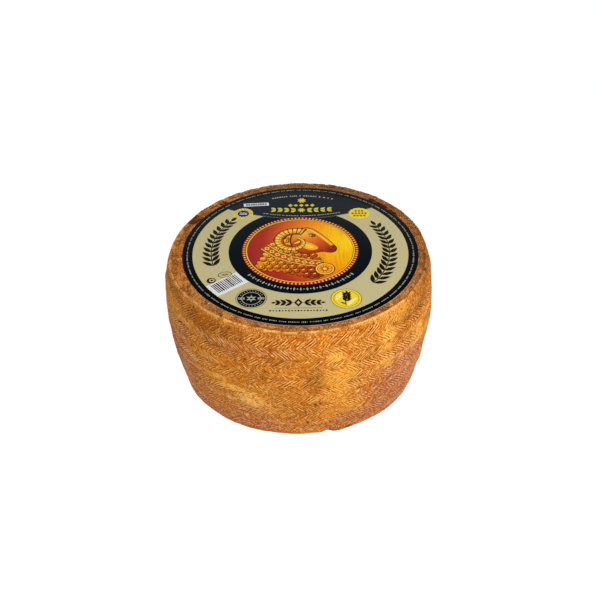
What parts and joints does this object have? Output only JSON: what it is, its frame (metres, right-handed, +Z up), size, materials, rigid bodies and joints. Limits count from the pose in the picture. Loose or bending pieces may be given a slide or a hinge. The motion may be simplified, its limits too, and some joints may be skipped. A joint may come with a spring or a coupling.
{
  "type": "aged sheep cheese wheel",
  "caption": "Whole drum-shaped wheel of aged sheep cheese, its rind marked with bands of herringbone from a plaited belt, with a round printed paper label on its flat top.",
  "frame": {"origin": "middle of the flat foot, on the surface that the wheel stands on", "axes": "+Z up through the middle of the wheel, -Y towards the front, where the printed label reads upright"},
  "size_m": [0.1907, 0.1889, 0.1026],
  "materials": {
    "rind": "dry, lightly oiled orange-brown rind, matt to satin, with paler yellow patches",
    "label_paper": "varnished paper, mostly near black with a stone-coloured band, semi-gloss"
  },
  "bodies": {
    "root": {"cheese_wheel": "rind", "label": "label_paper"}
  },
  "joints": []
}
